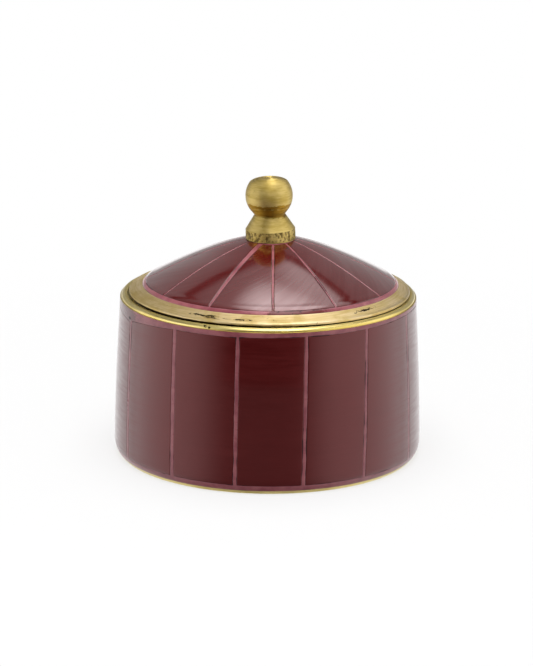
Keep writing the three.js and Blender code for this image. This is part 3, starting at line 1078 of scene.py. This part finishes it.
class BrassBoxLooks(bpy.types.PropertyGroup):
    """Colours of the box."""

    brass_colour: bpy.props.FloatVectorProperty(
        name="Brass", description="Colour of fresh brass",
        default=(0.7, 0.56, 0.2), min=0, max=1, subtype="COLOR",
    )
    burgundy_colour: bpy.props.FloatVectorProperty(
        name="Burgundy", description="Colour of the enamel fields",
        default=(0.064, 0.003, 0.003), min=0, max=1, subtype="COLOR",
    )
    pink_colour: bpy.props.FloatVectorProperty(
        name="Mauve Pink", description="Colour of the enamel lines and bands",
        default=(0.41, 0.125, 0.142), min=0, max=1, subtype="COLOR",
    )
    light_level: bpy.props.FloatProperty(
        name="Light Level", description="Level of the even light from all round",
        default=0.35, min=0, subtype="FACTOR",
    )


def given(context):
    """The panel's sizes and looks."""
    return Sizes(context.scene.brass_box_sizes), context.scene.brass_box_looks


class BRASSBOX_OT_cup(bpy.types.Operator):
    """Turns the brass body with its rim, ledge and foot ring"""

    bl_idname = "brassbox.cup"
    bl_label = "Brass Body"

    def execute(self, context):
        sizes, looks = given(context)
        brass = brass_material(
            "Turned Brass Body", looks, tone=(1.1, 1.13, 1.25), along=45.0, bump=0.03 * MM,
            brushed=0.7, clouds=0.45, pits=0.8, shine=0.5, polish=46.6, nicks=RIM_NICKS,
        )
        piece = turned_piece("brass_cup", sizes.cup(), brass)
        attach(piece, "box")
        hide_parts("box_shell")
        return {"FINISHED"}


class BRASSBOX_OT_box_enamel(bpy.types.Operator):
    """Lays the body's burgundy fields and its pink lines and bands"""

    bl_idname = "brassbox.box_enamel"
    bl_label = "Body Enamel"

    def execute(self, context):
        sizes, looks = given(context)
        burgundy = burgundy_material(
            "Burgundy Enamel Body", looks, lathe_marks, along=130.0, across=2800.0,
            bump=0.013 * MM, in_colour=0.17, in_coat=0.15,
            depth=1.15, shine=0.36, glint=0.37, gloss=1.3,
        )
        outline = sizes.box_enamel()
        fields = enamel_piece("box_fields", outline, BOX_LINES, burgundy, True, seed=3.0)
        pink = pink_material(looks)
        lines = enamel_piece("box_lines", outline, BOX_LINES, pink, False, seed=3.0)
        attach(fields, "box")
        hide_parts(*[f"box_panel_{number:02d}" for number in range(1, 15)])
        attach(lines, "box")
        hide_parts("box_line_inlay")
        return {"FINISHED"}


class BRASSBOX_OT_dome(bpy.types.Operator):
    """Turns the brass lid with its flange and locating lip"""

    bl_idname = "brassbox.dome"
    bl_label = "Brass Lid"

    def execute(self, context):
        sizes, looks = given(context)
        brass = brass_material(
            # The lid's tone paints its brass a little darker and paler, to match its light and its
            # whitened highlights.
            "Turned Brass Lid", looks, tone=(0.97, 0.97, 1.6), along=140.0, bump=0.04 * MM,
            brushed=0.6, clouds=0.85, pits=1.0, shine=0.66, polish=44.9, nicks=FLANGE_NICKS,
        )
        piece = turned_piece("brass_lid", sizes.dome(), brass, lid_off_centre)
        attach(piece, "lid")
        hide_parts("lid_shell")
        return {"FINISHED"}


class BRASSBOX_OT_lid_enamel(bpy.types.Operator):
    """Lays the lid's burgundy fields and its pink rays, edge band and ring"""

    bl_idname = "brassbox.lid_enamel"
    bl_label = "Lid Enamel"

    def execute(self, context):
        sizes, looks = given(context)
        burgundy = burgundy_material(
            "Burgundy Enamel Lid", looks, brush_strokes, along=60.0, across=1600.0,
            bump=0.018 * MM, in_colour=0.06, in_coat=0.36,
            # This depth paints the lid's enamel lighter than the body's, for the light its flanks
            # miss.
            depth=1.36, shine=0.16, glint=0.68, gloss=1.5,
            worn_height=(sizes.seat_height - 2.6) * MM, nicks=LID_NICKS,
        )
        outline = sizes.lid_enamel()
        common = {
            "seed": 8.0, "field_cells": 20, "field_rows": 44, "wander": 0.12 * MM,
            "aimed_past_axis": 1.0, "innermost_radius": sizes.seat_radius * MM,
            "off_centre": DOME_OFF_CENTRE * MM,
        }
        fields = enamel_piece("lid_fields", outline, LID_LINES, burgundy, True, **common)
        pink = pink_material(looks)
        lines = enamel_piece("lid_rays", outline, LID_LINES, pink, False, **common)
        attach(fields, "lid")
        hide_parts(*[f"lid_panel_{number:02d}" for number in range(1, 13)])
        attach(lines, "lid")
        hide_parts("lid_line_inlay")
        return {"FINISHED"}


class BRASSBOX_OT_knob(bpy.types.Operator):
    """Turns the ball knob with its cone and pitted collar"""

    bl_idname = "brassbox.knob"
    bl_label = "Ball Knob"

    def execute(self, context):
        sizes, looks = given(context)
        brass = brass_material(
            # The knob's tone paints its brass darker, to match its light.
            "Turned Brass Knob", looks, tone=(0.92, 0.89, 0.9), along=320.0, bump=0.08 * MM,
            brushed=0.82, clouds=0.8, pits=0.5, shine=0.6, polish=60, stains=KNOB_STAINS,
        )
        foot = sizes.knob_foot * MM
        piece = turned_piece(
            "ball_knob", sizes.knob(), brass, knob_off_centre, seed=4.0,
            pit_depth=0.16 * MM, pit_size=0.8 * MM, pits_from=foot + 0.2 * MM,
            pits_to=foot + 3.3 * MM, lean=math.radians(2.4), lean_from=foot, lean_over=3.5 * MM,
        )
        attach(piece, "lid")
        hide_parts("knob")
        return {"FINISHED"}


def cut_slot(screw, foot):
    """Cuts a slot for a screwdriver into the screw's head, whose foot is at this height."""
    mesh = bpy.data.meshes.new("slot")
    signs = [(a, b, c) for a in (-1, 1) for b in (-1, 1) for c in (-1, 1)]
    corners = [(5 * MM * a, 0.4 * MM * b, foot + 0.9 * MM * c) for a, b, c in signs]
    faces = [(0, 1, 3, 2), (4, 6, 7, 5), (0, 4, 5, 1), (2, 3, 7, 6), (0, 2, 6, 4), (1, 5, 7, 3)]
    mesh.from_pydata(corners, [], faces)
    cut = screw.modifiers.new("Slot", "BOOLEAN")
    cut.object = linked("slot", mesh)
    cut.operation = "DIFFERENCE"
    cut.solver = "EXACT"
    screw.modifiers.new("Merged Corners", "WELD").merge_threshold = 0.02 * MM
    make_plain(screw)
    bpy.data.objects.remove(bpy.data.objects["slot"])
    bpy.data.meshes.remove(mesh)


class BRASSBOX_OT_fixing(bpy.types.Operator):
    """Makes the knob's slotted screw and its washer inside the lid"""

    bl_idname = "brassbox.fixing"
    bl_label = "Knob Fixing"

    def execute(self, context):
        sizes, _ = given(context)
        steel = steel_material()
        washer = turned_piece("lid_washer", sizes.washer(), steel, knob_off_centre, segments=96)
        screw = turned_piece("lid_screw", sizes.screw(), steel, knob_off_centre, segments=96)
        cut_slot(screw, sizes.screw()[0][1] * MM)
        for piece, node in ((washer, "knob_washer"), (screw, "knob_screw")):
            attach(piece, "lid")
            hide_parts(node)
        return {"FINISHED"}


# Stage


def floor_piece():
    """A pale floor that fades out all round the box."""
    mesh = bpy.data.meshes.new("floor")
    sides = 96
    radius = 0.3
    angles = [TURN * step / sides for step in range(sides)]
    corners = [(radius * math.sin(a), -radius * math.cos(a), 0) for a in angles]
    mesh.from_pydata(corners, [], [tuple(range(sides))])
    floor = linked("floor", mesh)
    material, place = blank_material("Pale Floor")
    x, y, _ = split(place)
    from_axis = radius_of(x, y)
    shown = 0.26
    soft_edge = ramped(from_axis, 0.07, 0.27, shown, 0.0)
    plain_edge = ramped(from_axis, 0.235, 0.255, shown, 0.0)
    finished(material, {
        "Base Color": (0.94, 0.94, 0.94, 1),
        "Roughness": 0.8,
        "Specular IOR Level": 0.1,
        "Normal": bumped(noise(place, 400.0, 2, 0.5), 0.02 * MM),
        "Alpha": mixed(ramped(y / from_axis, -0.2, -0.6), soft_edge, plain_edge),
    })
    mesh.materials.append(material)
    floor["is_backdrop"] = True


def studio_world(level):
    """White to the camera. Gloss sees a white back, bright sides and a dark front."""
    world = bpy.data.worlds.new("Studio")
    world.use_nodes = True
    tree = world.node_tree
    tree.nodes.clear()
    x, y, z = split(new_wire(tree, "ShaderNodeTexCoord", output="Generated"))
    tilted = z + most(-x - 0.2, 0.0) * 0.42 + ramped(x, -0.1, 0.15) * 0.03
    backdrop = ramped(z, -0.05, 0.05, 1.2, 0.43) * ramped(tilted, 0.765, 0.745)
    back = ramped(y, -0.1, 0.35) * backdrop
    sides = ramped(size(x + 0.05), 0.4, 0.85) * ramped(tilted, 0.77, 0.72) * 1.65
    sides = sides * ramped(y, 0.75, 0.35)

    # The softbox and the ceiling over the box, placed by where a ray meets a flat sheet.
    above = most(z, 0.05)
    across = x / above - 0.1
    onward = y / above
    width = ramped(size(across), 0.42, 0.16)
    softbox = width * ramped(onward, 0.6, 0.3) * ramped(onward, -1.15, -0.8) * 5.4
    ceiling = ramped(across, -0.12, 0.1, 0.75, 1.9) * ramped(size(across), 0.75, 0.3, 0.35, 1.0)
    ceiling = ceiling * ramped(tilted, 0.79, 0.825) * ramped(y, -0.3, 0.2)
    slot = most(ramped(size(x), 0.0, 0.13, 0.35, 1.0), ramped(-y, 0.45, 0.2))
    front = ramped(z, 0.2, 0.5) * ramped(-y, 0.1, 0.4) * 0.8
    room = most(most(back, sides), most(most(softbox, front) * slot, ceiling))

    path = put(tree, "ShaderNodeLightPath")
    rays = [Wire(path.outputs[f"Is {kind} Ray"]) for kind in ("Glossy", "Transmission", "Camera")]
    strength = mixed(rays[2], mixed(most(rays[0], rays[1]), level, room), 1.0)
    light = {"Color": (1, 1, 1, 1), "Strength": strength}
    put(tree, "ShaderNodeOutputWorld", {0: new_wire(tree, "ShaderNodeBackground", light)})
    bpy.context.scene.world = world


def top_softbox():
    """A wide lamp over the box. Gloss doesn't see it, because the world gives the reflections."""
    data = bpy.data.lights.new("Top Softbox", "AREA")
    data.shape = "RECTANGLE"
    data.size = 0.7
    data.size_y = 1.1
    data.energy = 9.5
    lamp = linked("Top Softbox", data)
    lamp.location = (0, -0.15, 1.0)
    lamp.visible_glossy = False


def photo_camera():
    """The photograph's view: a long lens, 15 degrees above the table, rolled a little."""
    data = bpy.data.cameras.new("Camera")
    data.sensor_width = 36
    data.lens = 141.3
    data.clip_start = 0.05
    data.clip_end = 20
    camera = linked("Camera", data)
    elevation = math.radians(15.15)
    distance = 0.85
    aim = Vector((-0.00046, 0, 0.0389))
    back = Vector((0, -math.cos(elevation), math.sin(elevation)))
    camera.location = aim + back * distance
    camera.rotation_mode = "QUATERNION"
    roll = Quaternion((0, 0, 1), math.radians(0.45))
    camera.rotation_quaternion = (-back).to_track_quat("-Z", "Y") @ roll
    bpy.context.scene.camera = camera


class BRASSBOX_OT_stage(bpy.types.Operator):
    """Sets up the pale floor, the soft studio light and the camera"""

    bl_idname = "brassbox.stage"
    bl_label = "Stage"

    def execute(self, context):
        floor_piece()
        studio_world(context.scene.brass_box_looks.light_level)
        top_softbox()
        photo_camera()
        context.scene.view_settings.view_transform = "Standard"
        return {"FINISHED"}


class BRASSBOX_PT_panel(bpy.types.Panel):
    """Lists the box's sizes, its colours and the steps that build it"""

    bl_label = "Brass Box"
    bl_idname = "BRASSBOX_PT_panel"
    bl_space_type = "VIEW_3D"
    bl_region_type = "UI"
    bl_category = "Brass Box"

    def draw(self, context):
        for group in (context.scene.brass_box_sizes, context.scene.brass_box_looks):
            for name in group.__annotations__:
                self.layout.prop(group, name)
        for step in STEPS:
            self.layout.operator(step.bl_idname)


STEPS = (
    BRASSBOX_OT_cup,
    BRASSBOX_OT_box_enamel,
    BRASSBOX_OT_dome,
    BRASSBOX_OT_lid_enamel,
    BRASSBOX_OT_knob,
    BRASSBOX_OT_fixing,
    BRASSBOX_OT_stage,
)
CLASSES = (BrassBoxSizes, BrassBoxLooks, *STEPS, BRASSBOX_PT_panel)


def register():
    for item in CLASSES:
        bpy.utils.register_class(item)
    bpy.types.Scene.brass_box_sizes = bpy.props.PointerProperty(type=BrassBoxSizes)
    bpy.types.Scene.brass_box_looks = bpy.props.PointerProperty(type=BrassBoxLooks)


def unregister():
    del bpy.types.Scene.brass_box_looks
    del bpy.types.Scene.brass_box_sizes
    for item in reversed(CLASSES):
        bpy.utils.unregister_class(item)


def main():
    register()
    bpy.ops.brassbox.cup()
    bpy.ops.brassbox.box_enamel()
    bpy.ops.brassbox.dome()
    bpy.ops.brassbox.lid_enamel()
    bpy.ops.brassbox.knob()
    bpy.ops.brassbox.fixing()
    bpy.ops.brassbox.stage()
    visual_bounds = [list(corner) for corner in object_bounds()]


if __name__ == "__main__":
    main()
